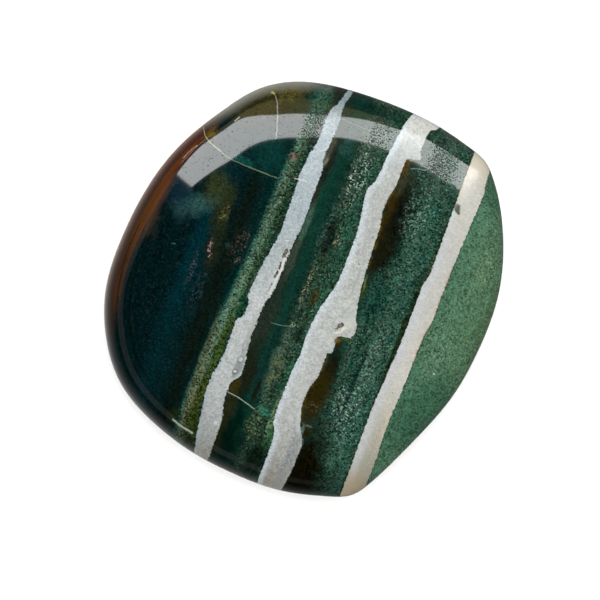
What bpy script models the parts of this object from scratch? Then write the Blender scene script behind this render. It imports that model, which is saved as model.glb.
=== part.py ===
"""A polished sardonyx touchstone: one flat, cushion-shaped pebble of banded stone, lying on its base.

The stone is a stack of rings. Every ring is the plan outline drawn in towards the middle, and lifted to the height
that the dome and its rolled edge have there. One side of the top face slopes away in a broad soft bevel. Two small
natural cavities in the white bands are cut afterwards.

Units are metres, +Z is up, +X runs to the bevelled side, and the origin is under the middle of the stone.
"""

import math

import bmesh
import bpy
import numpy as np
from mathutils import Matrix, Vector

MM = 0.001

# The plan outline: bearing in degrees anticlockwise from +X, and distance from the centre in millimetres.
# It has two blunt corners, at 34 and 283 degrees, where the bevel begins and ends.
OUTLINE = (
    (0, 19.6),
    (15, 20.65),
    (25, 21.5),
    (31, 22.0),
    (35, 22.2),
    (40, 21.85),
    (50, 21.15),
    (62, 20.55),
    (75, 20.4),
    (88, 20.7),
    (96, 20.75),
    (104, 20.45),
    (114, 19.65),
    (128, 19.05),
    (150, 18.65),
    (165, 18.95),
    (180, 19.8),
    (192, 20.3),
    (207, 20.6),
    (222, 20.1),
    (237, 19.75),
    (249, 19.75),
    (264, 20.3),
    (277, 20.9),
    (283, 21.15),
    (289, 20.5),
    (300, 19.2),
    (312, 18.5),
    (325, 18.35),
    (340, 18.5),
)

THICKNESS = 11.0 * MM  # from the base to the middle of the crown
BASE_SHARE = 0.5  # the flat base reaches this share of the way out to the outline

# The crown is a wide dome that rolls over at the edge. Both are uneven. The first number of each group holds all
# round, and the others are added to it on the sides that they name.
DOME_FALL = 3.85 * MM  # of the dome, from the middle to the outline
DOME_FALL_BACK = 0.75 * MM  # more at the back (+Y), and less at the front
DOME_FALL_LEFT = 0.9 * MM  # more on the left (-X), and less on the right
ROLL_FALL = 2.3 * MM  # of the rolled edge, down to the stone's widest line
ROLL_FALL_CORNERS = 0.2 * MM  # more at the back right and front left, and less at the other two corners
ROLL_POWER = 16.5  # how tight the roll is: a higher power keeps it nearer to the outline
ROLL_POWER_RIGHT = 9.0
ROLL_POWER_SIDES = 6.0  # more on the left and the right, and less at the back and the front

# The bevel starts at a straight soft ridge, which joins the outline's two corners, and falls beside the dome.
BEVEL_BEARING = math.radians(-21.2)  # the way the bevel faces
BEVEL_START = 12.4 * MM  # of the ridge from the middle
BEVEL_SLOPE = 0.22
BEVEL_SOFTNESS = 3.0 * MM

AROUND = 96  # points in a ring
CROWN_RINGS = 21
PAVILION_RINGS = 9

# Cavities in the top face: name, centre x and y, long and short half-widths, depth (all mm), and bearing of the
# long axis in degrees.
CAVITIES = (
    ("crevice", -2.15, 3.0, 1.25, 0.26, 0.30, 66),
    ("vug", 3.65, -3.8, 0.42, 0.30, 0.35, 38),
)


def outline_reach(bearings):
    """Distance from the centre to the outline at each bearing, by a smooth closed cubic through OUTLINE."""
    knots = np.radians([bearing for bearing, _ in OUTLINE])
    reach = np.array([distance for _, distance in OUTLINE]) * MM
    count = len(knots)
    gaps = (np.roll(knots, -1) - knots) % (2 * math.pi)
    rises = (np.roll(reach, -1) - reach) / gaps

    # The knots' slopes are those that leave no jump in curvature from one stretch to the next.
    system = np.zeros((count, count))
    wanted = np.zeros(count)
    for i in range(count):
        before, after = gaps[i - 1], gaps[i]
        system[i, i - 1] += after
        system[i, i] += 2 * (before + after)
        system[i, (i + 1) % count] += before
        wanted[i] = 3 * (after * rises[i - 1] + before * rises[i])
    slopes = np.linalg.solve(system, wanted)

    bearings = np.asarray(bearings) % (2 * math.pi)
    i = np.searchsorted(knots, bearings, side="right") - 1
    j = (i + 1) % count
    t = ((bearings - knots[i]) % (2 * math.pi)) / gaps[i]
    return (
        (2 * t**3 - 3 * t**2 + 1) * reach[i]
        + (t**3 - 2 * t**2 + t) * gaps[i] * slopes[i]
        + (3 * t**2 - 2 * t**3) * reach[j]
        + (t**3 - t**2) * gaps[i] * slopes[j]
    )


def bevel_fall(x, y):
    """How far the bevel takes the surface down at a place in plan."""
    past = x * math.cos(BEVEL_BEARING) + y * math.sin(BEVEL_BEARING) - BEVEL_START
    return BEVEL_SLOPE * (past + np.hypot(past, BEVEL_SOFTNESS)) / 2


def crown_height(share, bearings, reach):
    """Height of the crown at a share of the way out to the outline, from 0 at the middle to 1 at the widest line."""
    back, right = np.sin(bearings), np.cos(bearings)
    dome = DOME_FALL + DOME_FALL_BACK * back - DOME_FALL_LEFT * right
    roll = ROLL_FALL + ROLL_FALL_CORNERS * np.sin(2 * bearings)
    power = ROLL_POWER + ROLL_POWER_RIGHT * right + ROLL_POWER_SIDES * np.cos(2 * bearings)
    bevel = bevel_fall(share * reach * right, share * reach * back) - bevel_fall(0, 0)
    return THICKNESS - dome * share**2 - roll * (1 - np.sqrt(1 - share**power)) - bevel


def ring_points(share, heights, bearings, reach):
    """The points of one ring."""
    return [
        Vector((share * r * math.cos(a), share * r * math.sin(a), z))
        for r, a, z in zip(reach, bearings, heights)
    ]


def stone_rings():
    """All rings of the stone from the base's edge, over the girdle, to the last one before the crown's peak."""
    bearings = np.arange(AROUND) * 2 * math.pi / AROUND
    reach = outline_reach(bearings)
    girdle = crown_height(1.0, bearings, reach)
    rings = []
    for step in range(PAVILION_RINGS):
        turn = 0.5 * math.pi * step / PAVILION_RINGS
        share = BASE_SHARE + (1 - BASE_SHARE) * math.sin(turn)
        rings.append(ring_points(share, girdle * (1 - math.cos(turn)), bearings, reach))
    for step in range(CROWN_RINGS):
        share = math.cos(0.5 * math.pi * step / CROWN_RINGS)
        rings.append(ring_points(share, crown_height(share, bearings, reach), bearings, reach))
    return rings


def crown_place(x, y):
    """The point of the top face above a place in plan."""
    bearing = np.array([math.atan2(y, x)])
    reach = outline_reach(bearing)
    share = min(math.hypot(x, y) / reach[0], 1.0)
    return Vector((x, y, float(crown_height(share, bearing, reach)[0])))


def make_stone():
    """Builds the solid stone: a flat base, the rings bridged one to the next, and a fan at the peak."""
    bm = bmesh.new()
    loops = []
    for ring in stone_rings():
        verts = [bm.verts.new(point) for point in ring]
        loops.append([bm.edges.new((verts[i - 1], verts[i])) for i in range(AROUND)])
    for lower, upper in zip(loops, loops[1:]):
        bmesh.ops.bridge_loops(bm, edges=lower + upper)
    bmesh.ops.contextual_create(bm, geom=loops[0])
    peak = bmesh.ops.contextual_create(bm, geom=loops[-1])["faces"]
    middle = bmesh.ops.poke(bm, faces=peak)["verts"]
    middle[0].co = (0, 0, THICKNESS)
    bmesh.ops.recalc_face_normals(bm, faces=bm.faces)
    mesh = bpy.data.meshes.new("touchstone")
    bm.to_mesh(mesh)
    bm.free()
    mesh.shade_smooth()
    stone = bpy.data.objects.new("touchstone", mesh)
    bpy.context.scene.collection.objects.link(stone)
    return stone


def make_cavity_cutter(name, x, y, half_long, half_short, depth, bearing):
    """A stretched ball, sunk to its middle in the top face."""
    place = crown_place(x * MM, y * MM)
    bm = bmesh.new()
    bmesh.ops.create_icosphere(bm, subdivisions=2, radius=1.0)
    bmesh.ops.transform(
        bm,
        verts=bm.verts,
        matrix=Matrix.Translation(place)
        @ Matrix.Rotation(math.radians(bearing), 4, "Z")
        @ Matrix.Diagonal((half_long * MM, half_short * MM, depth * MM, 1)),
    )
    mesh = bpy.data.meshes.new(name)
    bm.to_mesh(mesh)
    bm.free()
    cutter = bpy.data.objects.new(f"cutter_{name}", mesh)
    cutter.hide_render = True
    cutter.display_type = "WIRE"
    bpy.context.scene.collection.objects.link(cutter)
    return cutter


def cut(stone, cutter):
    """Takes the cutter's shape out of the stone."""
    modifier = stone.modifiers.new(cutter.name, "BOOLEAN")
    modifier.operation = "DIFFERENCE"
    modifier.solver = "EXACT"
    modifier.object = cutter


def polished_stone_material():
    """Deep green, glossy stone."""
    material = bpy.data.materials.new("polished_green_stone")
    material.use_nodes = True
    shader = material.node_tree.nodes["Principled BSDF"]
    shader.inputs["Base Color"].default_value = (0.02, 0.10, 0.07, 1)
    shader.inputs["Roughness"].default_value = 0.08
    shader.inputs["Metallic"].default_value = 0.0
    return material


def main():
    for old in list(bpy.data.objects):
        bpy.data.objects.remove(old)
    stone = make_stone()
    stone.data.materials.append(polished_stone_material())
    for cavity in CAVITIES:
        cut(stone, make_cavity_cutter(*cavity))


main()
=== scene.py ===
# A polished sardonyx touchstone: one flat pebble of layered stone that lies on its base.
# Lengths in the dictionaries are in millimetres and bearings in degrees, anticlockwise from +X.

import math
from types import SimpleNamespace

import bmesh
import bpy
import numpy as np
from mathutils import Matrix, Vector, noise


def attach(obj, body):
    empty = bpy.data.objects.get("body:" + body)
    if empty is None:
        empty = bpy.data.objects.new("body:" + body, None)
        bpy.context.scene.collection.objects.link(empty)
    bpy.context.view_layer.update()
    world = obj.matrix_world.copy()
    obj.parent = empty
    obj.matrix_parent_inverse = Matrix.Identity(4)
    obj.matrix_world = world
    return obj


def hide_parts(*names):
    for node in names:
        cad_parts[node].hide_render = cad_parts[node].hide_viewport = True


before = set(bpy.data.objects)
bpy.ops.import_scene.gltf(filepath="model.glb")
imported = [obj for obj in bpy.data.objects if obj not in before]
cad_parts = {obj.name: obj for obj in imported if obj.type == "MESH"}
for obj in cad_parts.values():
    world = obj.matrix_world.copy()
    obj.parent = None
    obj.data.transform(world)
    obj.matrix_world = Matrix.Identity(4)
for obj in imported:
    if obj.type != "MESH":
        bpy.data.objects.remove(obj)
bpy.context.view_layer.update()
print("frame loaded")

millimetre = 0.001

# The layers stand on edge. Across them runs u, towards the bevel, and along them runs v, towards the back.
layerTurn = math.radians(-21.17)
acrossLayers = (math.cos(layerTurn), math.sin(layerTurn), 0)
alongLayers = (-math.sin(layerTurn), math.cos(layerTurn), 0)

stoneForm = dict(
    outline=[  # bearing and distance from the middle
        (0, 19.6), (15, 20.65), (25, 21.5), (31, 22.0), (35, 22.2), (40, 21.85), (50, 21.15), (62, 20.55),
        (75, 20.4), (88, 20.7), (96, 20.75), (104, 20.45), (114, 19.65), (128, 19.05), (150, 18.65),
        (165, 18.95), (180, 19.8), (192, 20.3), (207, 20.6), (222, 20.1), (237, 19.75), (249, 19.75),
        (264, 20.3), (277, 20.9), (283, 21.15), (289, 20.5), (300, 19.2), (312, 18.5), (325, 18.35),
        (340, 18.5),
    ],
    thickness=11.0,
    baseShare=0.5,  # how far out the flat base reaches
    baseEdge=30.0,  # the bearing from straight down that becomes the base's edge
    domeFall=3.85,
    domeFallBack=0.75,  # added at the back and taken away at the front
    domeFallLeft=0.9,
    rollFall=2.3,
    rollFallCorners=0.2,  # added at the back right and the front left
    rollPower=16.5,  # a higher power keeps the roll nearer to the outline
    rollPowerRight=9.0,
    rollPowerSides=6.0,
    bevelBearing=-21.2,
    bevelStart=12.4,
    bevelSlope=0.22,
    bevelSoftness=3.0,
    cuts=98,  # across each side of the cube that the stone starts from
    girdleHalf=0.05,  # what lies less than this below the widest line is still the crown
    undulation=0.003,
    undulationSize=5.0,
    undulationFrom=0.5,  # the flat base under this height stays true
)

# Open pits in the white layers: where they start and end as (u, v), half their width, and their depth.
pits = [
    ((-2.98, 2.95), (-3.02, 2.3), 0.16, 0.30),
    ((-3.06, 1.6), (-2.98, 1.05), 0.09, 0.24),
    ((-3.06, 0.65), (-3.14, 0.1), 0.12, 0.26),
    ((-3.15, -0.6), (-3.2, -1.6), 0.035, 0.10),
    ((4.82, -1.98), (4.66, -2.12), 0.22, 0.32),
    ((4.62, -2.35), (4.46, -2.62), 0.09, 0.16),
]
pitShape = dict(
    refineWithin=0.75,
    refinements=3,  # how often the faces near a pit are halved
    brink=1.3,  # where the slope into the pit starts, in half widths
    ragged=0.10,
    raggedSize=0.22,
)


def linkObject(name, data):
    made = bpy.data.objects.new(name, data)
    bpy.context.scene.collection.objects.link(made)
    return made


def makeMesh(name, bm):
    mesh = bpy.data.meshes.new(name)
    bm.to_mesh(mesh)
    bm.free()
    return mesh


def outlineReach(bearings):  # a smooth closed cubic through the outline's points
    knots = np.radians([bearing for bearing, _ in stoneForm["outline"]])
    reach = np.array([distance for _, distance in stoneForm["outline"]])
    count = len(knots)
    gaps = (np.roll(knots, -1) - knots) % (2 * math.pi)
    rises = (np.roll(reach, -1) - reach) / gaps
    system = np.zeros((count, count))  # for slopes that leave no jump in curvature
    wanted = np.zeros(count)
    for i in range(count):
        before, after = gaps[i - 1], gaps[i]
        system[i, i - 1] += after
        system[i, i] += 2 * (before + after)
        system[i, (i + 1) % count] += before
        wanted[i] = 3 * (after * rises[i - 1] + before * rises[i])
    slopes = np.linalg.solve(system, wanted)
    bearings = np.asarray(bearings) % (2 * math.pi)
    i = np.searchsorted(knots, bearings, side="right") - 1
    j = (i + 1) % count
    t = ((bearings - knots[i]) % (2 * math.pi)) / gaps[i]
    ends = (2 * t**3 - 3 * t**2 + 1) * reach[i] + (3 * t**2 - 2 * t**3) * reach[j]
    turns = (t**3 - 2 * t**2 + t) * slopes[i] + (t**3 - t**2) * slopes[j]
    return ends + gaps[i] * turns


def bevelFall(x, y):
    bearing = math.radians(stoneForm["bevelBearing"])
    past = x * math.cos(bearing) + y * math.sin(bearing) - stoneForm["bevelStart"]
    return stoneForm["bevelSlope"] * (past + np.hypot(past, stoneForm["bevelSoftness"])) / 2


def crownHeight(share, bearings, reach):  # share is 0 in the middle and 1 on the outline
    form = stoneForm
    back, right = np.sin(bearings), np.cos(bearings)
    dome = form["domeFall"] + form["domeFallBack"] * back - form["domeFallLeft"] * right
    roll = form["rollFall"] + form["rollFallCorners"] * np.sin(2 * bearings)
    power = form["rollPower"] + form["rollPowerRight"] * right + form["rollPowerSides"] * np.cos(2 * bearings)
    bevel = bevelFall(share * reach * right, share * reach * back) - bevelFall(0, 0)
    return form["thickness"] - dome * share**2 - roll * (1 - np.sqrt(1 - share**power)) - bevel


def fromSphere(ball):  # moves the points of a unit ball on to the stone
    baseShare, baseEdge = stoneForm["baseShare"], stoneForm["baseEdge"]
    bearings = np.arctan2(ball[:, 1], ball[:, 0])
    reach = outlineReach(bearings)
    out = np.minimum(np.hypot(ball[:, 0], ball[:, 1]), 1)
    crown = crownHeight(out, bearings, reach)
    girdle = crownHeight(1.0, bearings, reach)
    polar = np.degrees(np.arcsin(out))
    turn = np.radians(np.clip((polar - baseEdge) * 90 / (90 - baseEdge), 0, 90))
    below = np.where(polar < baseEdge, polar / baseEdge * baseShare, baseShare * (1 + np.sin(turn)))
    above = ball[:, 2] >= 0
    share = np.where(above, out, below)
    height = np.where(above, crown, girdle * (1 - np.cos(turn)))
    return np.stack((share * reach * np.cos(bearings), share * reach * np.sin(bearings), height), axis=1)


def layerPlace(places):  # u and v of places given in x, y, z
    return places @ np.array(acrossLayers), places @ np.array(alongLayers)


def gapTo(u, v, start, end):  # distance in plan from a straight line
    run = np.array(end) - np.array(start)
    along = np.clip(((u - start[0]) * run[0] + (v - start[1]) * run[1]) / (run @ run), 0, 1)
    return np.hypot(u - start[0] - along * run[0], v - start[1] - along * run[1])


def pitDepth(u, v):
    rough = np.array([noise.noise(Vector((a, b, 0)) / pitShape["raggedSize"]) for a, b in zip(u, v)])
    depth = np.zeros(len(u))
    for start, end, halfWidth, deepest in pits:
        gap = gapTo(u, v, start, end) + pitShape["ragged"] * rough
        inside = np.clip(pitShape["brink"] - gap / halfWidth, 0, 1)
        depth = np.maximum(depth, deepest * inside**2 * (3 - 2 * inside))
    return depth


def nearPits(places):  # which of these places on the crown are close to a pit
    u, v = layerPlace(places)
    gap = np.min([gapTo(u, v, start, end) for start, end, _, _ in pits], axis=0)
    return (gap < pitShape["refineWithin"]) & (places[:, 2] > stoneForm["thickness"] / 2)


def points(bm):
    return np.array([vert.co for vert in bm.verts])


def moveTo(bm, places):
    for vert, place in zip(bm.verts, places):
        vert.co = place


def makeStone():
    bm = bmesh.new()
    bmesh.ops.create_cube(bm, size=2)
    bmesh.ops.subdivide_edges(bm, edges=bm.edges[:], cuts=stoneForm["cuts"], use_grid_fill=True)
    ball = np.tan(points(bm) * math.pi / 4)
    moveTo(bm, fromSphere(ball / np.linalg.norm(ball, axis=1)[:, None]))

    for _ in range(pitShape["refinements"]):
        middles = np.array([(edge.verts[0].co + edge.verts[1].co) / 2 for edge in bm.edges])
        close = [edge for edge, near in zip(bm.edges, nearPits(middles)) if near]
        bmesh.ops.subdivide_edges(bm, edges=close, cuts=1, use_grid_fill=True)

    places = points(bm)
    near = nearPits(places)
    bearings = np.arctan2(places[:, 1], places[:, 0])
    reach = outlineReach(bearings)
    share = np.minimum(np.hypot(places[:, 0], places[:, 1]) / reach, 1)
    sunk = np.zeros(len(places))
    u, v = layerPlace(places)
    sunk[near] = pitDepth(u[near], v[near])
    places[near, 2] = crownHeight(share, bearings, reach)[near] - sunk[near]
    moveTo(bm, places)
    for vert, height in zip(bm.verts, places[:, 2]):
        if height > stoneForm["undulationFrom"]:
            vert.co.z += noise.noise(vert.co / stoneForm["undulationSize"]) * stoneForm["undulation"]
    bmesh.ops.recalc_face_normals(bm, faces=bm.faces)
    bmesh.ops.scale(bm, vec=(millimetre,) * 3, verts=bm.verts)

    mesh = makeMesh("polishedStone", bm)
    mesh.shade_smooth()
    crown = places[:, 2] > crownHeight(1.0, bearings, reach) - stoneForm["girdleHalf"]
    rimGap = np.where(crown, reach * (1 - share), 0)  # how far in from the outline
    for name, values in (("rimGap", rimGap), ("sunk", sunk)):
        mesh.attributes.new(name, "FLOAT", "POINT").data.foreach_set("value", values)
    return linkObject("polished_touchstone", mesh)


def linear(channel):
    channel /= 255
    return channel / 12.92 if channel <= 0.04045 else ((channel + 0.055) / 1.055) ** 2.4


lightLevel = 2.05  # how bright a white surface reads on the crown
threadShape = dict(outer=1.6, inner=0.4, fadePast=0.05, fadeBefore=0.1)  # its sides in half widths, and ends


def tint(red, green, blue):  # a stone colour, named as it reads in the studio light
    return tuple(min(linear(c) / lightLevel, 1) for c in (red, green, blue)) + (1,)


def fillStops(ramp, stops):
    while len(ramp.elements) > 1:
        ramp.elements.remove(ramp.elements[-1])
    for i, (position, colour) in enumerate(stops):
        stop = ramp.elements[0] if i == 0 else ramp.elements.new(position)
        stop.position = position
        stop.color = colour


def fillPoints(mapping, line):
    curve = mapping.curves[0]
    while len(curve.points) > 2:
        curve.points.remove(curve.points[1])
    curve.points[0].location = line[0]
    curve.points[-1].location = line[-1]
    for place in line[1:-1]:
        curve.points.new(*place)
    for point in curve.points:
        point.handle_type = "AUTO_CLAMPED"
    mapping.update()


class Wire:  # one socket in a material; sums written on it add nodes
    def __init__(self, tree, socket=None):
        self.tree = tree
        self.socket = socket

    def node(self, kind, settings, values, output=0):
        made = self.tree.nodes.new(kind)
        for name, value in settings.items():
            if name == "stops":
                fillStops(made.color_ramp, value)
            elif name == "line":
                fillPoints(made.mapping, value)
            else:
                setattr(made, name, value)
        for name, value in values.items():
            if isinstance(value, Wire):
                self.tree.links.new(value.socket, made.inputs[name])
            else:
                made.inputs[name].default_value = value
        return Wire(self.tree, made.outputs[output]) if made.outputs else None

    def math(self, operation, *inputs):
        return self.node("ShaderNodeMath", dict(operation=operation), dict(enumerate(inputs)))

    def __add__(self, other):
        return self.math("ADD", self, other)

    def __radd__(self, other):
        return self.math("ADD", other, self)

    def __sub__(self, other):
        return self.math("SUBTRACT", self, other)

    def __rsub__(self, other):
        return self.math("SUBTRACT", other, self)

    def __mul__(self, other):
        return self.math("MULTIPLY", self, other)

    def __rmul__(self, other):
        return self.math("MULTIPLY", other, self)

    def __abs__(self):
        return self.math("ABSOLUTE", self)

    def least(self, other):
        return self.math("MINIMUM", self, other)

    def most(self, other):
        return self.math("MAXIMUM", self, other)

    def step(self, low, high, full=1.0):  # a soft step from 0 at low to its full value at high
        values = {0: self, 1: low, 2: high, 4: full}
        return self.node("ShaderNodeMapRange", dict(interpolation_type="SMOOTHSTEP"), values)

    def within(self, low, high, soft):  # 1 between low and high, with soft ends
        return self.step(low - soft, low + soft) * self.step(high + soft, high - soft)

    def vector(self, operation, *inputs, output=0):
        return self.node("ShaderNodeVectorMath", dict(operation=operation), dict(enumerate(inputs)), output)

    def dot(self, direction):
        return self.vector("DOT_PRODUCT", self, direction, output="Value")

    def joined(self, x, y, z=0.0):
        return self.node("ShaderNodeCombineXYZ", {}, {"X": x, "Y": y, "Z": z})

    def channels(self, *names):
        return [self.node("ShaderNodeSeparateColor", {}, {0: self}, name) for name in names]

    def attribute(self, name):  # a value that the mesh keeps for each of its points
        return self.node("ShaderNodeAttribute", dict(attribute_name=name), {}, "Fac")

    def grain(self, size, detail=2.0, rough=0.5, squeeze=1.0):  # noise on this place
        place = self.node("ShaderNodeMapping", {}, {"Vector": self, "Scale": (1, squeeze, 1)})
        values = {"Vector": place, "Scale": 1 / size, "Detail": detail, "Roughness": rough}
        return place.node("ShaderNodeTexNoise", {}, values)

    def shaded(self, amount):  # this colour made lighter or darker
        return self.node("ShaderNodeHueSaturation", {}, {"Color": self, "Value": amount})

    def mix(self, share, top):  # this colour with another over it
        return self.node("ShaderNodeMix", dict(data_type="RGBA"), {0: share, 6: self, 7: top}, 2)

    def line(self, places):  # reads a smooth line through (value, result) places
        starts, ends = zip(*places)
        low, high, least, most = min(starts), max(starts), min(ends), max(ends)
        places = sorted(((a - low) / (high - low), (b - least) / (most - least)) for a, b in places)
        share = (self - low) * (1 / (high - low))
        read = self.node("ShaderNodeFloatCurve", dict(line=places), {"Value": share})
        return read * (most - least) + least

    def colours(self, stops):  # colours at given values, blended between them
        low, high = stops[0][0], stops[-1][0]
        share = (self - low) * (1 / (high - low))
        stops = [((value - low) / (high - low), tint(*colour)) for value, colour in stops]
        return self.node("ShaderNodeValToRGB", dict(stops=stops), {0: share})

    def blob(self, u, v, halfU, halfV, turn=0, strength=1.0, soft=0.35):  # a soft patch on this place
        turn = math.radians(turn)
        far, near = math.cos(turn), math.sin(turn)
        if turn:
            along = self.dot((far / halfU, near / halfU, 0))
            place = self.joined(along, self.dot((-near / halfV, far / halfV, 0)))
        else:
            place = self.vector("MULTIPLY", self, (1 / halfU, 1 / halfV, 0))
        middle = ((u * far + v * near) / halfU, (v * far - u * near) / halfV, 0)
        return place.vector("DISTANCE", place, middle, output="Value").step(1 + soft, 1 - soft, strength)

    def thread(self, across, places, halfWidth, strength):  # a thin line that runs along this value
        low, high = min(places)[0], max(places)[0]
        middle, half = (low + high) / 2, (high - low) / 2
        ends = abs(self - middle).step(half + threadShape["fadePast"], half - threadShape["fadeBefore"])
        outer, inner = halfWidth * threadShape["outer"], halfWidth * threadShape["inner"]
        return ends * abs(across - self.line(places)).step(outer, inner, strength)


def newMaterial(name):
    material = bpy.data.materials.new(name)
    material.use_nodes = True
    material.node_tree.nodes.clear()
    return material, Wire(material.node_tree)


def finishMaterial(wire, settings, normal=None):
    if normal:
        settings["Normal"] = normal
    shader = wire.node("ShaderNodeBsdfPrincipled", {}, settings)
    wire.node("ShaderNodeOutputMaterial", {}, {"Surface": shader})


# Each white layer: how ragged its edges are, how strongly it is mottled, its two edges as v and the u that
# the edge has there, and its colour at each v, which holds painted shade and highlights as noted at each
# layer.
whiteLayers = dict(
    narrow=dict(
        ragged=0.9,
        mottled=1.0,
        left=[(20.2, -3.05), (19.2, -3.3), (18.4, -3.58), (17.6, -3.92), (17, -4.0), (14, -4.05),
              (13, -4.3), (12, -4.35), (10.2, -4.5), (9.9, -4.4), (7, -4.3), (5, -4.2), (3, -4.4),
              (1, -4.7), (-1, -4.9), (-2.5, -4.95), (-3.1, -4.65), (-4, -4.6), (-4.9, -4.72), (-5.2, -5.15),
              (-9, -5.1), (-12, -5.45), (-14, -5.25), (-16, -4.95), (-18, -4.6), (-20, -4.1)],
        right=[(20, -2.55), (19.2, -2.68), (18.2, -2.88), (17, -2.7), (15, -2.75), (13, -2.85), (12, -2.55),
               (9, -2.5), (6, -2.4), (4, -2.6), (0, -2.65), (-2, -2.85), (-2.6, -3.1), (-5, -3.2), (-8, -3.0),
               (-10.2, -2.75), (-10.8, -3.15), (-12.2, -3.45), (-14, -3.2), (-15.5, -2.9), (-20, -2.75)],
        # darker at the front, partly painted shade and partly the stone's own tone; darker at v 16.3, a
        # painted darkening where the lamp's reflection lies
        body=[(-20, (146, 140, 124)), (-17.5, (166, 170, 166)), (-12, (184, 189, 188)), (-3, (192, 197, 195)),
              (3, (172, 182, 182)), (8, (172, 185, 189)), (13.5, (182, 194, 199)), (16.3, (150, 164, 170)),
              (20, (140, 156, 158))],
    ),
    wavy=dict(
        ragged=0.6,
        mottled=1.0,
        left=[(20.5, 4.0), (19.5, 3.6), (18, 3.3), (15, 3.0), (13, 2.85), (12.2, 2.6), (11.3, 2.35),
              (10, 2.5), (9, 2.7), (5, 3.0), (2, 2.9), (0, 2.5), (-2, 2.1), (-5, 1.95), (-6, 2.05),
              (-7.5, 1.9), (-12, 1.85), (-13, 1.9), (-14.5, 2.45), (-16, 2.6), (-20, 2.65)],
        right=[(20.5, 7.1), (19.6, 6.6), (19.0, 6.0), (17, 5.9), (16.35, 6.2), (16.0, 5.6), (15.75, 4.9),
               (13, 4.85), (11, 4.55), (8, 4.9), (4, 5.15), (1, 5.5), (-1, 5.95), (-2, 6.35), (-2.6, 6.25),
               (-3.0, 6.05), (-3.15, 4.9), (-5.0, 4.95), (-5.15, 4.5), (-7, 4.5), (-8, 4.4), (-10, 4.0),
               (-12, 4.3), (-14, 5.18), (-15, 5.46), (-17, 5.42), (-20, 5.1)],
        # darker at the front, partly painted shade and partly the stone's own tone; darker at v 17, a painted
        # darkening where the lamp's reflection lies; near white at v 19 and 20, a painted highlight where the
        # back rim catches the light
        body=[(-20, (152, 144, 124)), (-17.5, (160, 161, 154)), (-15, (174, 177, 172)),
              (-11, (187, 191, 188)), (0, (190, 195, 191)), (14, (180, 185, 182)), (17, (162, 169, 169)),
              (19, (230, 232, 226)), (20, (238, 240, 234))],
    ),
    straight=dict(
        ragged=0.6,
        mottled=0.5,
        left=[(19, 11.0), (12, 11.1), (6, 11.2), (4.5, 10.95), (0, 11.0), (-4, 10.88), (-6.5, 10.78),
              (-9, 10.68), (-12, 10.72), (-15, 10.82), (-19, 10.88)],
        right=[(19, 13.0), (16, 13.2), (15, 13.35), (12, 13.25), (4, 13.1), (2, 13.15), (0, 12.9),
               (-6, 12.8), (-10, 12.7), (-14, 12.9), (-19, 12.7)],
        # darker at the front, partly painted shade and partly the stone's own tone
        body=[(-20, (150, 144, 126)), (-14, (173, 170, 154)), (-10, (190, 187, 173)), (-5, (208, 206, 196)),
              (8, (200, 199, 192)), (17, (208, 206, 194))],
    ),
)

# The granular green strip beside the narrow layer: its left edge and its brightness by v, and its colours by
# the distance from that edge.
greenStrip = dict(
    edge=[(20, -5.75), (13, -6.35), (9, -6.5), (5, -6.5), (2, -6.6), (-3, -6.9), (-8, -7.2), (-13, -7.35),
          (-19, -7.1)],
    shade=[(-20, 0.75), (-14, 0.85), (-4, 1.05), (4, 0.85), (9, 0.8), (20, 0.75)],
    start=(-0.15, 0.1),
    colours=[(-0.1, (4, 40, 36)), (0.12, (12, 60, 52)), (0.4, (50, 88, 72)), (0.65, (76, 106, 86)),
             (1.0, (70, 98, 76)), (1.35, (34, 64, 44)), (1.9, (18, 50, 33))],
)

# The dark ground's colours by u: the field on the left, and then each zone with where it takes over.
leftField = [(-20, (2, 22, 24)), (-15, (0, 20, 23)), (-12.8, (0, 22, 25)), (-11.5, (1, 34, 38)),
             (-9.6, (2, 26, 28)), (-8.2, (2, 17, 15)), (-7.0, (2, 32, 30))]
groundZones = [
    ((-4.2, -4.0), [(-3.2, (36, 42, 34)), (-2.0, (20, 44, 34)), (-1.2, (16, 54, 44)), (-0.3, (13, 47, 38)),
                    (0.3, (34, 60, 46)), (1.2, (28, 56, 41)), (2.2, (34, 72, 56)), (3.0, (26, 62, 44))]),
    ((3.8, 4.0), [(4.6, (30, 58, 46)), (6.0, (26, 60, 48)), (7.4, (22, 58, 46)), (8.6, (44, 80, 66)),
                  (9.8, (36, 74, 62)), (10.6, (36, 72, 58)), (11, (30, 54, 34))]),
    ((12.0, 12.2), [(13, (70, 112, 86)), (14.2, (80, 120, 94)), (17.4, (84, 120, 90)), (19, (76, 106, 66))]),
]

layerShape = dict(
    soft=0.05,  # half the width of a layer's edge
    jagged=0.30,
    jaggedSize=0.4,
    jaggedGrain=0.12,  # how far single grains stick out of an edge
    warp=0.5,  # how far the outlines of small patches wander
    warpSize=0.8,
    wideWarp=0.9,  # and of wide ones, beside the slower wander below
    wideWander=1.4,
    zoneWander=0.5,
    underside=(2.4, 4.2),  # heights between which the underside's sway ends and the cracks start
    undersideSway=2.2,
    undersideSwaySize=7.0,
    depthSqueeze=0.6,  # grains are longer downwards
    wideHalf=0.5,  # a patch is wide when both its half sizes are more
    wideSoft=0.6,
    smallSoft=0.4,
    brokenFrom=0.3,  # a patch is broken up into grains from this number on
)

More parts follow.
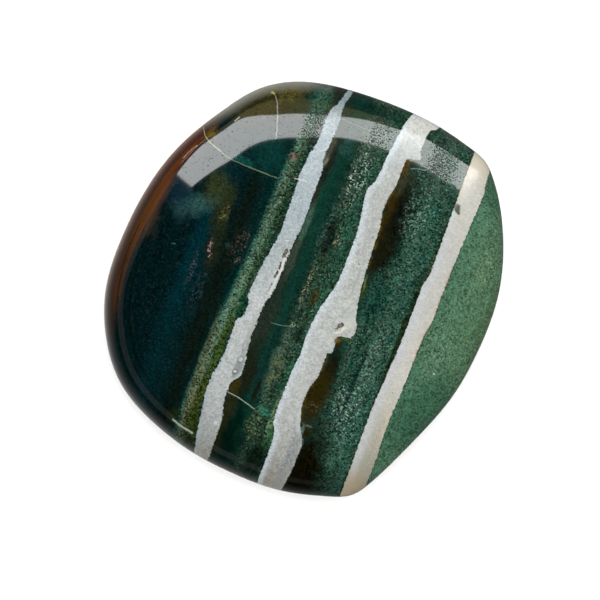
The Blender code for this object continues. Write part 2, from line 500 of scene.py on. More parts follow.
grainShape = dict(
    size=0.14,
    clumpSize=0.75,
    coarseSize=1.9,
    streakSize=0.35,
    streakSqueeze=0.1,
    # how much the grain shows, by u
    strength=[(-20, 2.2), (-6.6, 2.2), (-5.9, 2.3), (-5.2, 2.1), (-4.2, 1.6), (-2.2, 0.8), (-1.0, 0.9),
              (-0.2, 1.4), (0.4, 1.9), (2.8, 1.9), (4.8, 0.8), (5.8, 1.0), (6.6, 1.9), (7.4, 2.0),
              (10.4, 2.0), (12.8, 1.25), (20, 1.2)],
    leftStrength=1.1,
    sugar=0.88,  # shares of the single grains, the clumps and the streaks
    clumps=0.36,
    streaks=0.6,
    darkest=0.22,
    paintedFrontShade=[(-20, 0.4), (-18, 0.55), (-16.2, 0.78), (-14, 0.95), (-11, 1.0), (20, 1.0)],  # painted shade at the front, where the crown falls away from the lamp, by v
    tan=(122, 104, 70),
    pale=(116, 166, 146),
)

polish = dict(
    roughness=0.055,
    whiteRoughness=0.16,  # more on the white layers
    ior=1.54,
    crystalSize=0.14,
    crystalHeight=0.11,
    crystals=(0.42, 0.58),  # noise levels between which a grain's side rises
    fewer=0.4,  # how much higher that level is where no grain stands proud
    proud=0.33,  # how many grains stand proud in the dark ground
    # more of them in these bands of u: from, to, softness and how many more
    prouder=[(-5.9, -4.2, 0.5, 0.67), (0.4, 2.9, 0.4, 0.3), (7.0, 10.0, 0.9, 0.6)],
)

# Soft patches in the dark ground: middle (u, v), half sizes, turn, colour, strength, and how much of the
# patch is broken up into grains.
groundPatches = [
    # left field
    (-16.6, 0.6, 0.8, 1.4, 10, (60, 50, 40), 0.5, 0.0),
    (-11.5, 0.0, 0.8, 6.5, 0, (1, 42, 48), 0.7, 0.0),
    (-13.2, 4.0, 1.9, 1.1, 25, (54, 92, 88), 0.6, 0.0),
    (-14.2, 3.4, 0.9, 1.6, 10, (30, 60, 64), 0.5, 0.0),
    (-15.2, 4.6, 1.3, 1.4, 0, (16, 42, 56), 0.6, 0.0),
    (-11.7, 6.2, 1.1, 1.8, 15, (54, 62, 28), 0.65, 0.1),
    (-10.3, 4.6, 0.7, 2.4, 0, (42, 46, 20), 0.65, 0.0),
    (-9.8, 0.6, 0.7, 2.4, 8, (34, 40, 20), 0.7, 0.0),
    (-10.1, 4.1, 0.40, 0.9, -6, (116, 106, 60), 0.75, 0.85),
    (-10.15, 0.3, 0.28, 1.0, 14, (150, 126, 120), 0.8, 0.85),
    (-7.7, 1.6, 0.7, 1.6, -8, (92, 84, 76), 0.75, 0.95),
    (-7.2, 0.3, 0.35, 0.4, 0, (130, 116, 102), 0.8, 0.8),
    (-7.2, 2.9, 0.3, 0.4, -20, (96, 84, 80), 0.7, 0.8),
    (-8.6, 1.4, 0.3, 0.22, 20, (54, 84, 90), 0.8, 0.0),
    (-9.9, -3.8, 0.6, 2.2, 6, (54, 72, 76), 0.5, 0.9),
    (-13.8, -0.5, 0.18, 0.05, 20, (90, 112, 104), 0.7, 0.0),
    (-12.55, -2.1, 0.3, 0.1, 15, (26, 60, 78), 0.6, 0.0),
    (-11.1, -2.0, 0.25, 2.0, 0, (80, 72, 80), 0.6, 0.95),
    (-8.4, -3.0, 0.9, 12.0, 0, (14, 22, 14), 0.6, 0.0),
    # From here to the patch at (-11.0, 15.7), all but the green one at (-5.2, 17.8): the olive band at the
    # top left, beyond the lamp's reflection, is a painted reflection of a warm, dim reflector.
    (-10.6, 15.9, 2.6, 2.0, 36, (60, 54, 24), 0.9, 0.0),
    (-9.0, 17.5, 1.9, 0.8, 24, (66, 62, 22), 0.8, 0.2),
    (-7.6, 18.2, 1.4, 0.7, 24, (96, 90, 40), 0.45, 0.0),
    (-5.2, 17.8, 0.8, 1.8, 0, (30, 88, 66), 0.65, 0.0),
    (-8.4, 17.6, 0.8, 0.6, 24, (110, 92, 40), 0.5, 0.5),
    (-7.3, 16.6, 1.3, 1.0, 24, (46, 50, 22), 0.7, 0.0),
    (-9.6, 16.9, 0.35, 0.5, 30, (30, 20, 8), 0.8, 0.0),
    (-11.0, 15.7, 1.7, 0.4, 44, (34, 36, 8), 0.7, 0.0),
    (-14.6, 11.3, 0.75, 0.55, 35, (126, 112, 30), 0.7, 0.0),
    (-8.2, 11.4, 1.5, 2.2, 0, (10, 56, 52), 0.7, 0.0),
    (-10.3, 9.8, 1.2, 0.4, -6, (20, 88, 80), 0.5, 0.0),
    (-7.6, -16.4, 0.6, 0.9, 0, (34, 46, 14), 0.6, 0.0),
    # between the strip and the narrow layer
    (-5.7, 11.95, 0.36, 0.45, 0, (112, 86, 78), 0.7, 0.1),
    (-5.15, -3.8, 0.4, 1.4, 0, (10, 60, 38), 0.6, 0.0),
    (-5.7, -9.0, 0.4, 4.6, 0, (52, 72, 28), 0.8, 0.2),
    (-5.9, -15.0, 0.5, 3.4, 0, (58, 70, 24), 0.8, 0.0),
    (-6.2, -12.5, 0.2, 3.6, 0, (46, 42, 22), 0.7, 0.3),
    (-6.7, -11.8, 0.45, 6.0, 2, (100, 102, 68), 0.45, 0.0),
    (-5.2, -17.0, 0.4, 1.8, 10, (46, 60, 12), 0.8, 0.2),
    # between the narrow and the wavy layer
    (-2.5, 13.8, 0.4, 1.5, 0, (76, 78, 62), 0.9, 0.1),
    (-2.6, 12.7, 0.28, 0.5, 24, (112, 118, 98), 0.8, 0.0),
    (-2.05, 12.6, 0.32, 3.4, 0, (30, 32, 26), 0.85, 0.0),
    (-1.1, 14.7, 0.9, 0.9, 0, (40, 82, 72), 0.4, 0.0),
    (-2.3, 8.4, 0.36, 2.0, 0, (44, 46, 36), 0.8, 0.0),
    (-1.75, 9.6, 0.3, 3.0, 0, (16, 66, 50), 0.5, 0.0),
    (-2.1, 6.0, 0.35, 2.2, 0, (66, 96, 80), 0.75, 0.0),
    (-2.2, 2.0, 0.4, 2.4, 0, (60, 70, 56), 0.75, 0.1),
    (-2.4, -4.2, 0.7, 5.2, 0, (36, 47, 38), 0.85, 0.0),
    (-2.1, -10.0, 0.65, 3.4, 0, (26, 29, 17), 0.85, 0.0),
    (-2.85, -11.6, 0.42, 0.95, 0, (60, 51, 14), 0.8, 0.0),
    (-2.7, -15.5, 0.5, 3.6, 0, (36, 38, 14), 0.8, 0.0),
    (-1.4, -15.6, 0.7, 3.4, 0, (0, 24, 16), 0.9, 0.0),
    (1.15, 12.6, 0.7, 3.0, 0, (130, 158, 142), 0.9, 1.0),
    (0.5, 11.8, 0.28, 1.4, 0, (170, 184, 170), 0.8, 1.0),
    (1.9, 7.0, 0.8, 1.8, 0, (30, 88, 70), 0.6, 0.4),
    (0.5, 5.8, 0.5, 1.8, 0, (12, 22, 18), 0.8, 0.0),
    (-0.2, 5.6, 0.5, 1.8, 0, (60, 84, 76), 0.6, 0.6),
    (1.4, 5.5, 0.3, 0.7, 0, (130, 126, 100), 0.8, 0.8),
    (0.2, 0.2, 0.3, 1.7, 0, (140, 134, 104), 0.9, 0.8),
    (1.3, -0.4, 0.4, 0.9, 0, (56, 54, 24), 0.8, 0.2),
    (0.3, -3.5, 0.22, 0.5, 0, (176, 178, 150), 0.9, 0.7),
    (0.35, -3.65, 0.1, 0.1, 0, (8, 14, 12), 0.9, 0.0),
    (0.6, -2.4, 0.22, 0.8, 0, (14, 26, 22), 0.7, 0.1),
    (1.2, -4.4, 0.3, 0.7, 0, (16, 30, 24), 0.7, 0.1),
    (0.25, -8.0, 0.6, 3.2, 0, (76, 98, 80), 0.6, 0.2),
    (0.3, -8.6, 0.5, 1.5, 0, (96, 94, 42), 0.6, 0.6),
    (-1.0, -8.0, 0.3, 4.0, 0, (10, 38, 34), 0.45, 0.0),
    (-0.75, -11.2, 0.2, 1.2, 0, (26, 16, 14), 0.85, 0.0),
    (0.2, -14.2, 0.6, 1.5, 0, (104, 116, 74), 0.7, 0.3),
    (0.3, -17.2, 0.55, 1.4, 0, (56, 94, 70), 0.5, 0.3),
    (0.7, -12.8, 0.8, 0.4, -14, (50, 112, 90), 0.6, 0.0),
    (1.75, -13.0, 0.26, 2.6, 0, (100, 126, 92), 0.8, 0.0),
    (1.6, -8.5, 0.25, 2.2, 0, (44, 92, 64), 0.7, 0.2),
    (2.2, -15.3, 0.42, 1.0, 0, (60, 108, 70), 0.8, 0.0),
    (1.6, -14.8, 0.2, 0.12, -20, (20, 16, 12), 0.9, 0.0),
    (1.7, -17.8, 0.9, 2.2, 0, (10, 24, 14), 0.8, 0.0),
    (0.4, 19.2, 3.4, 0.55, 0, (10, 44, 34), 0.8, 0.2),
    # between the wavy and the straight layer
    (5.5, 9.6, 1.3, 5.0, 0, (40, 33, 11), 1.0, 0.0),
    (6.5, 9.2, 0.95, 4.2, 0, (12, 18, 12), 0.95, 0.0),
    (5.3, 13.6, 0.45, 1.6, 0, (52, 58, 42), 0.8, 0.0),
    (5.05, 10.5, 0.32, 3.6, 0, (52, 42, 6), 0.45, 0.0),
    (5.8, 6.0, 0.9, 2.4, 0, (22, 23, 12), 0.95, 0.0),
    (5.3, 16.0, 0.42, 0.3, 20, (128, 96, 30), 0.95, 0.1),
    (5.1, 15.0, 0.3, 0.9, 0, (70, 54, 18), 0.85, 0.1),
    (5.5, 2.2, 0.32, 1.1, 6, (52, 60, 14), 0.9, 0.0),
    (5.5, 2.7, 0.13, 0.8, 6, (96, 112, 66), 0.7, 0.0),
    (5.15, -3.85, 0.36, 0.42, 0, (52, 42, 8), 0.95, 0.0),
    (5.0, -3.5, 0.3, 0.26, 20, (104, 78, 14), 0.9, 0.0),
    (5.7, -3.2, 0.5, 0.16, -12, (62, 88, 46), 0.8, 0.0),
    (6.35, -3.4, 0.22, 0.16, 20, (110, 158, 140), 0.8, 0.3),
    (5.4, -13.3, 0.35, 0.5, 0, (48, 42, 8), 0.9, 0.0),
    (4.85, -13.1, 0.3, 0.55, 8, (132, 154, 148), 0.9, 0.0),
    (5.4, -12.6, 0.42, 0.11, 8, (124, 148, 138), 0.85, 0.0),
    (5.35, -14.3, 0.2, 0.4, 20, (126, 150, 146), 0.85, 0.0),
    (4.66, -12.8, 0.17, 0.2, 0, (8, 46, 36), 0.95, 0.0),
    (6.9, 14.6, 0.9, 0.9, 0, (60, 104, 90), 0.6, 0.3),
    (6.5, -4.0, 0.4, 3.4, 0, (58, 86, 74), 0.7, 0.2),
    (6.5, 1.6, 0.35, 1.8, 0, (44, 80, 68), 0.7, 0.2),
    (7.4, 1.4, 0.9, 2.2, 0, (14, 58, 47), 0.6, 0.0),
    (8.0, 10.6, 1.0, 2.4, 0, (100, 130, 116), 0.75, 1.0),
    (6.8, 12.0, 0.4, 2.4, 0, (80, 100, 92), 0.3, 1.0),
    (8.9, -4.4, 0.8, 4.0, 0, (116, 140, 130), 0.6, 1.0),
    (8.05, -6.8, 0.22, 3.6, 0, (10, 36, 34), 0.85, 0.2),
    (7.4, -9.6, 0.5, 2.8, 0, (134, 162, 154), 0.6, 1.0),
    (8.9, -10.2, 0.7, 3.0, 0, (130, 162, 148), 0.85, 1.0),
    (8.7, -14.6, 0.6, 1.6, 0, (66, 104, 86), 0.6, 0.2),
    (8.0, -17.8, 1.4, 1.5, 0, (10, 18, 10), 0.6, 0.0),
    (10.75, -1.0, 0.36, 6.0, 0, (24, 38, 16), 0.85, 0.0),
    (9.6, -12.6, 1.0, 3.4, 0, (58, 104, 86), 0.6, 0.3),
    (5.3, -6.2, 0.9, 1.8, 0, (16, 20, 13), 1.0, 0.0),
    (5.0, -9.6, 1.1, 3.2, 0, (40, 34, 8), 1.0, 0.1),
    (5.1, -10.7, 0.7, 0.5, 0, (92, 80, 56), 0.6, 0.9),
    (6.6, -12.8, 0.8, 1.9, 0, (24, 34, 24), 0.85, 0.35),
    (6.4, -16.8, 1.7, 3.9, 0, (17, 15, 4), 1.0, 0.0),
    # beyond the straight layer
    (15.7, 9.5, 0.14, 5.0, 0, (134, 150, 104), 0.6, 0.6),
    (16.4, 8.6, 0.5, 2.0, 0, (140, 160, 128), 0.5, 1.0),
    (14.8, -0.8, 1.6, 2.2, 0, (120, 146, 118), 0.6, 1.0),
    (15.2, -3.25, 0.09, 0.07, 0, (220, 224, 200), 0.9, 0.0),
    (15.9, -7.5, 2.6, 4.6, -20, (50, 92, 70), 0.75, 0.0),
    (14.5, 15.5, 1.0, 2.0, 30, (58, 100, 74), 0.7, 0.1),
]

# The red-brown stain along the left rim: how far in it reaches at each v, its colour there, its brightness by
# the gap to the rim, which is brightest at the outline as a painted reflection, and the size of the arcs in
# it.
rimStainAndReflection = dict(
    reach=[(20, 0.0), (15, 0.1), (13, 0.4), (11, 1.1), (6, 1.5), (4.5, 1.8), (2.8, 2.0), (-0.4, 1.8),
           (-2, 1.6), (-3.8, 1.5), (-7, 1.4), (-9, 1.1), (-10.5, 0.8), (-13, 0.3), (-20, 0.0)],
    colours=[(-12, (44, 30, 20)), (-7, (76, 46, 24)), (-2, (88, 54, 26)), (3, (92, 54, 24)),
             (7, (100, 52, 20)), (10, (104, 52, 20)), (12, (84, 54, 18)), (15, (60, 48, 18))],
    shade=[(0, 1.4), (0.3, 0.9), (0.65, 0.35), (0.95, 0.9), (1.3, 1.0), (2.0, 0.6), (6, 0.5)],
    arcSize=0.30,
    arcStretch=0.03,
)

# Patches on the white layers, in the same order of numbers.
whitePatches = [
    (-3.3, 3.85, 0.2, 0.05, 25, (226, 226, 218), 0.9, 0.0),
    (-2.86, 1.2, 0.11, 1.7, 0, (224, 224, 216), 0.9, 0.1),
    (-2.95, -0.9, 0.09, 1.0, 0, (214, 216, 210), 0.8, 0.1),
    (-3.3, -6.8, 0.36, 2.4, 0, (164, 168, 164), 0.7, 0.2),
    (-3.3, -9.6, 0.42, 1.2, 0, (126, 134, 134), 0.75, 0.2),
    (-3.2, -7.2, 0.07, 0.7, 0, (110, 116, 118), 0.8, 0.3),
    (-3.45, -7.5, 0.17, 0.6, 0, (128, 134, 136), 0.7, 0.0),
    (-3.45, -7.4, 0.07, 0.42, 0, (196, 200, 198), 0.8, 0.0),
    (-3.4, -8.9, 0.3, 0.34, 0, (116, 122, 124), 0.7, 0.0),
    (-3.38, -8.86, 0.19, 0.22, 0, (204, 207, 204), 0.9, 0.0),
    (-3.42, -10.15, 0.3, 0.28, 0, (100, 107, 107), 0.75, 0.0),
    (-3.4, -10.1, 0.16, 0.09, 0, (228, 230, 224), 0.9, 0.0),
    (-3.25, -15.6, 0.26, 0.2, 0, (226, 228, 222), 0.7, 0.0),
    (-3.15, -15.6, 0.1, 0.09, 0, (160, 164, 160), 0.8, 0.0),
    (-3.1, 10.8, 0.3, 3.4, 0, (170, 176, 176), 0.6, 0.5),
    (-3.05, 15.65, 0.07, 0.07, 0, (100, 92, 96), 0.9, 0.0),
    (-5.1, -6.1, 0.2, 0.4, 0, (206, 204, 180), 0.8, 0.0),
    (4.3, 10.0, 0.5, 3.6, 0, (174, 174, 168), 0.7, 0.6),
    (4.6, 7.3, 0.14, 0.2, 0, (140, 134, 122), 0.7, 0.2),
    (4.25, 4.35, 0.09, 0.07, 0, (110, 98, 84), 0.9, 0.0),
    (4.6, 2.2, 0.1, 1.8, 0, (158, 162, 162), 0.6, 0.2),
    (4.7, 0.3, 0.4, 0.35, 0, (220, 218, 206), 0.6, 0.4),
    (5.3, -1.6, 0.8, 0.5, 0, (214, 212, 200), 0.5, 0.0),
    (4.78, -2.1, 0.34, 0.26, 38, (112, 98, 78), 0.95, 0.4),
    (4.55, -2.5, 0.16, 0.22, 0, (120, 104, 80), 0.9, 0.4),
    (5.12, -2.35, 0.10, 0.36, -34, (238, 232, 212), 0.9, 0.0),
    (4.75, -2.85, 0.10, 0.36, -62, (238, 230, 208), 0.85, 0.0),
    (4.1, -3.6, 0.5, 0.4, 0, (212, 206, 188), 0.6, 0.3),
    (4.92, -3.6, 0.2, 0.36, 10, (98, 74, 14), 0.95, 0.0),
    (4.75, -4.9, 0.3, 0.2, 0, (160, 172, 196), 0.7, 0.0),
    (4.8, -16.4, 0.5, 3.4, -4, (150, 154, 156), 0.6, 0.0),
    (4.7, -15.6, 0.6, 3.0, 0, (120, 122, 120), 0.7, 0.9),
    (4.4, -12.4, 0.3, 1.4, 16, (196, 200, 198), 0.7, 0.1),
    (3.9, -8.2, 0.4, 2.6, 0, (180, 178, 172), 0.6, 0.5),
    (11.45, 13.0, 0.30, 0.48, 24, (72, 88, 72), 1.0, 0.0),
    (11.7, 12.65, 0.15, 0.16, 0, (78, 54, 24), 0.9, 0.0),
    (11.1, 12.35, 0.22, 0.5, 10, (196, 218, 224), 0.9, 0.0),
    (11.2, 16.0, 0.3, 2.6, 0, (222, 206, 178), 0.4, 0.0),
    # a painted highlight where the back rim catches the light
    (12.1, 18.6, 1.4, 1.9, 0, (232, 220, 198), 0.7, 0.0),
    (12.4, -10.4, 0.36, 2.2, 0, (206, 190, 160), 0.9, 0.3),
    (12.5, -10.6, 0.22, 1.8, 0, (232, 222, 200), 0.9, 0.9),
    (12.3, -10.8, 0.3, 1.6, 0, (158, 142, 116), 0.6, 0.8),
    (11.7, -17.6, 1.6, 2.4, 10, (178, 163, 132), 0.85, 0.0),
    (12.0, -6.4, 0.06, 0.06, 0, (120, 96, 70), 0.9, 0.0),
    # a painted highlight where the back rim catches the light
    (3.6, 19.4, 4.0, 0.5, 0, (226, 222, 210), 0.3, 0.0),
]

# Healed cracks and hairlines: the way each one runs, its points with that way first, half its width, its
# colour and its strength.
cracks = [
    ("u", [(-15.3, 11.7), (-14.6, 10.65), (-13.3, 10.05), (-11.5, 9.5), (-9.5, 9.37), (-6.4, 9.35)], 0.045,
     (138, 152, 112), 0.6),
    ("u", [(-15.2, 11.45), (-14.5, 10.55), (-13.9, 10.25), (-12.6, 9.8)], 0.06, (206, 194, 140), 0.5),
    ("u", [(-4.9, 9.95), (-3.6, 10.15)], 0.05, (230, 234, 232), 0.6),
    ("u", [(-10.15, 17.2), (-9.7, 17.15)], 0.10, (190, 184, 90), 0.9),
    ("v", [(17.1, -9.7), (16.6, -9.3), (15.8, -8.95), (14.8, -8.55), (13.6, -8.15), (12.9, -8.0)], 0.055,
     (158, 172, 158), 0.7),
    ("v", [(13.1, -12.5), (13.75, -12.15)], 0.06, (196, 190, 184), 0.9),
    ("v", [(7.8, -16.0), (8.7, -15.6), (9.6, -15.1)], 0.04, (224, 190, 160), 0.6),
    ("u", [(-7.55, -16.85), (-6.4, -17.2), (-5.1, -17.45)], 0.10, (176, 188, 168), 0.9),
    ("u", [(-3.4, -12.3), (-2.2, -12.45), (-1.1, -12.72), (-0.2, -12.95)], 0.05, (168, 182, 160), 0.8),
    ("u", [(-1.85, -4.3), (-0.6, -4.15), (0.2, -3.9)], 0.035, (120, 138, 126), 0.7),
    ("u", [(-2.6, 17.25), (0.2, 17.1), (3.0, 17.05)], 0.04, (110, 130, 128), 0.5),
    ("u", [(5.6, 15.05), (6.3, 15.3), (7.2, 15.45)], 0.05, (120, 152, 140), 0.7),
]
crackWander = 0.2


def readPlaces(wire):  # where a point lies in the layers, and the noises that the colours share
    shape, grain = layerShape, grainShape
    place = wire.node("ShaderNodeTexCoord", {}, {}, "Object")
    place = wire.node("ShaderNodeVectorMath", dict(operation="SCALE"), {0: place, "Scale": 1 / millimetre})
    depth = wire.node("ShaderNodeSeparateXYZ", {}, {0: place}, "Z")
    top = depth.step(*shape["underside"])
    sway = (place.grain(shape["undersideSwaySize"]) - 0.5) * (1 - top) * shape["undersideSway"]
    u = place.dot(acrossLayers) + sway
    v = place.dot(alongLayers)
    flat = wire.joined(u, v, depth * shape["depthSqueeze"])

    grains = wire.node("ShaderNodeTexVoronoi", {}, {"Vector": flat, "Scale": 1 / grain["size"]}, "Color")
    sugar, spice, flecks = grains.channels("Red", "Green", "Blue")
    clumps = flat.grain(grain["clumpSize"])
    coarse = flat.grain(grain["coarseSize"], 1.0) - 0.5
    streaks = flat.grain(grain["streakSize"], rough=0.6, squeeze=grain["streakSqueeze"])
    rough = flat.grain(shape["jaggedSize"], rough=0.6) - 0.5
    values = {"Vector": flat, "Scale": 1 / shape["warpSize"], "Detail": 2.0}
    warp = wire.node("ShaderNodeTexNoise", {}, values, "Color")
    warpU, warpV = (channel - 0.5 for channel in warp.channels("Red", "Green"))
    return SimpleNamespace(
        u=u, v=v, depth=depth, top=top, flat=flat,
        gap=wire.attribute("rimGap"),
        sunk=wire.attribute("sunk"),
        sugar=sugar, spice=spice, flecks=flecks, clumps=clumps, streaks=streaks, rough=rough, warpU=warpU,
        jag=rough * shape["jagged"] + (sugar - 0.5) * shape["jaggedGrain"],
        specks=flecks.step(0.5, 0.9),
        wobble=u + coarse * shape["zoneWander"],
        loose=wire.joined(u + warpU * shape["warp"], v + warpV * shape["warp"]),
        bent=wire.joined(u + warpU * shape["wideWarp"] + coarse * shape["wideWander"],
                         v + warpV * shape["wideWarp"] + (clumps - 0.5) * shape["wideWander"]),
        fromStrip=u - v.line(greenStrip["edge"]),
    )


def addPatches(zone, at, patches, wideCoordinates):  # lays soft patches on a zone's colour
    shape = layerShape
    for middleU, middleV, halfU, halfV, turn, colour, strength, broken in patches:
        wide = min(halfU, halfV) > shape["wideHalf"]
        soft = shape["wideSoft"] if wide else shape["smallSoft"]
        coordinates = wideCoordinates if wide else at.loose
        share = coordinates.blob(middleU, middleV, halfU, halfV, turn, strength, soft)
        if broken >= shape["brokenFrom"]:
            share = share * at.specks
        zone = zone.mix(share, tint(*colour))
    return zone


def groundColour(at):  # the dark ground between the white layers
    strip = at.fromStrip.colours(greenStrip["colours"]).shaded(at.v.line(greenStrip["shade"]))
    ground = at.wobble.colours(leftField).mix(at.fromStrip.step(*greenStrip["start"]), strip)
    for start, colours in groundZones:
        ground = ground.mix(at.u.step(*start), at.wobble.colours(colours))

    # Tan and pale grains, the patches over them, and then the grain's lighter and darker spots, with painted
    # shade towards the front.
    grain = grainShape
    left, beyond = grain["leftStrength"], at.u.step(12.0, 13.5)
    grainy = left + at.fromStrip.step(-0.1, 0.35) * (at.u.line(grain["strength"]) - left)
    spicy = grainy * 1.5 - 1.5 + beyond * 1.4
    for noisy, level, colour in ((at.spice, 0.72, grain["tan"]), (at.flecks, 0.78, grain["pale"])):
        ground = ground.mix((noisy.step(level, 0.95) * spicy * 0.15).least(0.5), tint(*colour))
    ground = addPatches(ground, at, groundPatches, at.bent)
    uneven = (at.sugar - 0.5) * grain["sugar"] + (at.clumps - 0.5) * grain["clumps"]
    uneven = uneven + (at.streaks - 0.5) * grain["streaks"]
    # painted shade: darker towards the front, except beyond the straight layer
    paintedFrontShade = at.v.line(grain["paintedFrontShade"]).most(at.u.step(11.5, 13.0))
    return ground.shaded((1 + grainy * uneven).most(grain["darkest"]) * paintedFrontShade)


def addRimStainAndReflections(ground, at):  # the red-brown left rim with a painted reflection at its outline, its arcs, and a painted reflection of the pale floor on the rim at the back
    u, v, gap = at.u, at.v, at.gap
    arcs = gap.joined(gap, v * rimStainAndReflection["arcStretch"]).grain(rimStainAndReflection["arcSize"], 1.0)
    # brightest at the outline: a painted reflection over the stain's own colour
    stainAndReflection = v.colours(rimStainAndReflection["colours"]).shaded(gap.line(rimStainAndReflection["shade"]) * (0.7 + arcs * 0.6))
    share = (v.line(rimStainAndReflection["reach"]) + at.warpU * 0.5 - gap).step(-0.5, 0.4) * u.step(-7.0, -11.0)
    ground = ground.mix(share, stainAndReflection)
    dark = arcs.step(0.5, 0.6) * gap.step(3.6, 2.6) * gap.step(0.7, 1.1) * v.step(2.0, -1.0)
    ground = ground.mix(dark * u.step(-10.0, -12.5) * 0.7, tint(1, 10, 12))
    # a painted reflection of the pale floor on the back rim, on the crown only
    pale = gap.step(1.3, -0.6) * u.step(-4.0, -7.5) * v.step(10.5, 15.0) * at.depth.step(3.2, 4.6)
    return ground.mix(pale * 0.7, tint(196, 196, 182))


def narrowBody(body, at, fromLeft, fromRight):
    return body.mix(fromLeft.step(0.5, 0.0) * 0.5, tint(160, 182, 190))


def wavyBody(body, at, fromLeft, fromRight):
    body = body.mix(at.u.step(3.0, 4.4) * 0.3, tint(178, 178, 170))
    return body.mix(fromLeft.step(0.75, 0.2) * 0.7, tint(204, 217, 223))


def straightBody(body, at, fromLeft, fromRight):
    body = body.mix(fromLeft.step(1.1, 0.4) * at.v.step(13.0, 9.0) * 0.7, tint(200, 206, 208))
    return body.mix(fromRight.step(0.14, 0.0) * at.v.within(-3.0, 7.0, 1.0) * 0.8, tint(176, 130, 70))


def goldenEdge(at, fromRight):  # the brown seam on the right of the wavy layer
    golden = at.v.within(4.5, 15.6, 0.6) + at.v.within(-12.0, -5.2, 0.4)
    return fromRight.within(-0.25, 0.0, 0.12) * golden * at.clumps.step(0.4, 0.6)


def addWhiteLayers(colour, at):  # also returns where the stone is white
    soft = layerShape["soft"]
    bodies = dict(narrow=narrowBody, wavy=wavyBody, straight=straightBody)
    mottled = (at.sugar - 0.5) * 0.42 + (at.clumps - 0.5) * 0.4 + at.rough * 0.25
    whiteness = None
    for name, layer in whiteLayers.items():
        jag = at.jag * layer["ragged"]
        fromLeft = at.u + jag - at.v.line(layer["left"])
        fromRight = at.v.line(layer["right"]) - at.u + jag
        inward = fromLeft.least(fromRight)
        inside = inward.step(-soft, soft)
        if name == "wavy":
            colour = colour.mix(goldenEdge(at, fromRight), tint(84, 62, 10))
        colour = colour.mix(inward.within(-0.10, 0.02, 0.05) * 0.4, tint(16, 24, 16))  # a thin dark outline
        body = bodies[name](at.v.colours(layer["body"]), at, fromLeft, fromRight)
        colour = colour.mix(inside, body.shaded(1 + mottled * layer["mottled"]))
        whiteness = whiteness.most(inside) if whiteness else inside
    return colour.mix(whiteness, addPatches(colour, at, whitePatches, at.loose)), whiteness


def addCracks(colour, at):
    crackU, crackV = at.u + at.rough * crackWander, at.v + at.rough * crackWander
    for way, places, halfWidth, crackColour, strength in cracks:
        along, across = (at.u, crackV) if way == "u" else (at.v, crackU)
        thread = along.thread(across, places, halfWidth, strength)
        colour = colour.mix(thread * at.top, tint(*crackColour))
    return colour


def crystalBump(at, whiteness):  # coarse grains stand a little proud of the polish, and scatter the lamp
    u, v = at.u, at.v
    lampBand = v.step(12.0, 14.0).most((v - u).step(20.0, 21.0) * u.step(-6.0, -8.0))
    proud = polish["proud"]
    for low, high, soft, more in polish["prouder"]:
        proud = proud + u.within(low, high, soft) * more
    proud = proud * lampBand * (1 - whiteness)
    height = at.flat.grain(polish["crystalSize"], 1.0) - (1 - proud) * polish["fewer"]
    height = height.step(*polish["crystals"])
    return u.node("ShaderNodeBump", {}, {"Height": height, "Distance": polish["crystalHeight"] * millimetre})


def makeStoneMaterial():
    material, wire = newMaterial("bandedSardonyx")
    at = readPlaces(wire)
    ground = addRimStainAndReflections(groundColour(at), at)
    colour, whiteness = addWhiteLayers(ground, at)
    pitColour = at.sugar.colours([(0.1, (70, 64, 50)), (0.9, (150, 142, 122))])
    colour = addCracks(colour.mix(at.sunk.step(0.03, 0.13) * 0.9, pitColour), at)
    roughness = polish["roughness"] + whiteness * polish["whiteRoughness"]
    settings = {"Base Color": colour, "Roughness": roughness, "IOR": polish["ior"]}
    finishMaterial(wire, settings, crystalBump(at, whiteness))
    return material


stone = makeStone()
stone.data.materials.append(makeStoneMaterial())
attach(stone, "root")
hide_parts("touchstone")
print("stone made")

studio = dict(
    floorHalf=3.0,
    lampAway=2.5,  # metres, as everything in the studio
    lampFace=[  # bearing from the back of the stone, and the face's lower and upper edge, all in degrees
        (-50.5, 13, 35.5), (-45, 11, 37.5), (-40, 10, 39), (-36.5, 13, 41), (-31, 22, 43.5), (-24, 28.5, 46),
        (-17, 33, 48), (-7, 35.5, 50), (3, 37.2, 50.6), (9, 35.5, 50.2), (12, 32.4, 50.5), (17, 32.5, 52.6),
        (22, 28, 54), (35, 29, 56.5), (45, 27.8, 57), (64, 10.7, 55), (68.3, 38, 53), (71.4, 49.2, 49.4),
    ],
    lampColour=(1.0, 1.02, 1.015, 1),
    lampGlow=7.2,
    cards=dict(  # dim cards that only the polish shows: edges, colour and glow
        tanCard=([(-40, 6, 14), (-30, 8, 24), (-18, 12, 33), (-6, 16, 38), (6, 19, 39), (15, 20, 34)],
                 (1.0, 0.9, 0.42, 1), 0.65),
        hotEdge=([(-48, 5.5, 6.5), (-38, 4.5, 5.5)], (1.0, 0.8, 0.72, 1), 4.0),
    ),
    sky=[(-1.0, 0.95), (-0.75, 0.8), (-0.35, 0.35), (-0.08, 0.08), (0.0, 0.01), (0.14, 0.01), (0.17, 0.22),
         (0.34, 0.22), (0.37, 0.01), (1.0, 0.0)],
    skyOtherSides=0.12,  # share of that glow which is left away from the left side
    room=0.9,  # how bright the room beyond the floor looks
    roomFill=0.5,  # the share of that which lights the floor and the stone
    lampHeight=0.009,  # where on the stone the lamp and the cards are aimed
    cardsBehind=0.1,  # how far behind the lamp the cards stand
    softboxes=dict(  # place, size and power
        softbox=((0.1, 0.6, 0.6), (0.9, 0.5), 5.5),
        overhead_fill=((0.0, -0.1, 0.9), (1.2, 1.2), 14.5),
    ),
    lensLength=1500.0,
    cameraHeight=2.5045,
    cameraEnd=20.0,  # how far the camera sees
    frameMiddle=(-0.00037, -0.0011),
)


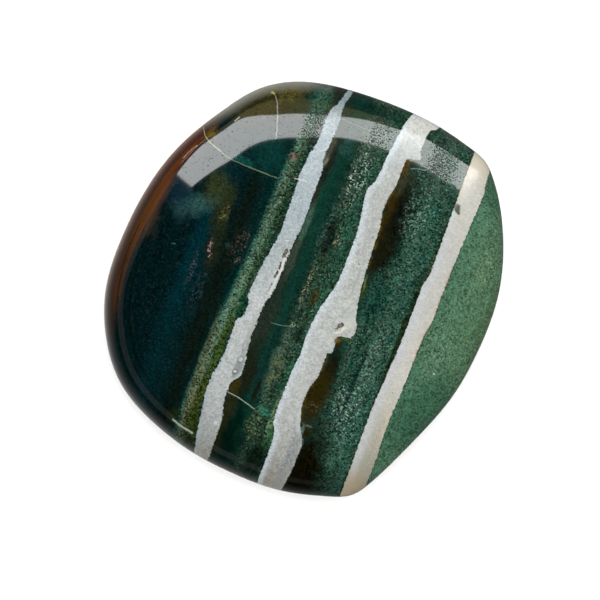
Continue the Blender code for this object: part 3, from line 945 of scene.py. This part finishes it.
def makeFloor():
    bm = bmesh.new()
    bmesh.ops.create_grid(bm, x_segments=1, y_segments=1, size=studio["floorHalf"])
    mesh = makeMesh("floor", bm)
    floor = linkObject("floor", mesh)
    material, wire = newMaterial("paleFloor")
    finishMaterial(wire, {"Base Color": (0.9, 0.9, 0.89, 1), "Roughness": 0.9})
    mesh.materials.append(material)
    floor.visible_glossy = False


def makeCard(name, away, edges, colour, glow):  # a bowed sheet of light, which only the polish shows
    bearings, lows, highs = zip(*edges)
    bm = bmesh.new()
    bmesh.ops.create_grid(bm, x_segments=60, y_segments=8, size=1)
    for vert in bm.verts:
        bearing = bearings[0] + (vert.co.x + 1) / 2 * (bearings[-1] - bearings[0])
        low, high = (float(np.interp(bearing, bearings, edge)) for edge in (lows, highs))
        across, up = math.radians(bearing), math.radians(low + (vert.co.y + 1) / 2 * (high - low))
        flat = away * math.cos(up)
        height = away * math.sin(up) + studio["lampHeight"]
        vert.co = (flat * math.sin(across), flat * math.cos(across), height)
    mesh = makeMesh(name, bm)
    card = linkObject(name, mesh)
    material, wire = newMaterial(name)
    light = wire.node("ShaderNodeEmission", {}, {"Color": colour, "Strength": glow})
    wire.node("ShaderNodeOutputMaterial", {}, {"Surface": light})
    mesh.materials.append(material)
    card.visible_camera = False
    card.visible_diffuse = False


def makeSoftbox(name, place, size, power):  # lights the stone, but the polish doesn't show it
    data = bpy.data.lights.new(name, "AREA")
    data.shape = "RECTANGLE"
    data.size, data.size_y = size
    data.energy = power
    light = linkObject(name, data)
    light.location = place
    light.rotation_euler = (-Vector(place)).to_track_quat("-Z", "Y").to_euler()
    light.visible_glossy = False
    light.visible_camera = False


def makeSky():  # the polish shows the dark studio, and everything else the pale room
    world = bpy.data.worlds.new("studioRoom")
    bpy.context.scene.world = world
    world.use_nodes = True
    world.node_tree.nodes.clear()
    wire = Wire(world.node_tree)
    place = wire.node("ShaderNodeTexCoord", {}, {}, "Generated")
    height = wire.node("ShaderNodeSeparateXYZ", {}, {0: place}, "Z")
    side = wire.node("ShaderNodeSeparateXYZ", {}, {0: place}, "X")
    stops = [(0.5 + at / 2, (glow, glow, glow, 1)) for at, glow in studio["sky"]]
    dark = wire.node("ShaderNodeValToRGB", dict(stops=stops), {0: height * 0.5 + 0.5})
    dark = dark.shaded(side.step(0.2, -0.6, 1 - studio["skyOtherSides"]) + studio["skyOtherSides"])
    glossy = wire.node("ShaderNodeLightPath", {}, {}, "Is Glossy Ray")
    diffuse = wire.node("ShaderNodeLightPath", {}, {}, "Is Diffuse Ray")
    level = (1 - diffuse * (1 - studio["roomFill"])) * studio["room"]
    room = wire.node("ShaderNodeCombineColor", {}, {"Red": level, "Green": level, "Blue": level})
    sky = wire.node("ShaderNodeBackground", {}, {"Color": room.mix(glossy, dark)})
    wire.node("ShaderNodeOutputWorld", {}, {"Surface": sky})


def makeCamera():
    data = bpy.data.cameras.new("camera")
    data.lens = studio["lensLength"]
    data.clip_end = studio["cameraEnd"]
    camera = linkObject("camera", data)
    camera.location = (*studio["frameMiddle"], studio["cameraHeight"])
    bpy.context.scene.camera = camera


makeFloor()
makeCard("lamp_face", studio["lampAway"], studio["lampFace"], studio["lampColour"], studio["lampGlow"])
for name, (edges, colour, glow) in studio["cards"].items():
    makeCard(name, studio["lampAway"] + studio["cardsBehind"], edges, colour, glow)
for name, (place, size, power) in studio["softboxes"].items():
    makeSoftbox(name, place, size, power)
makeSky()
makeCamera()
bpy.context.scene.view_settings.view_transform = "Standard"
print("studio lit")
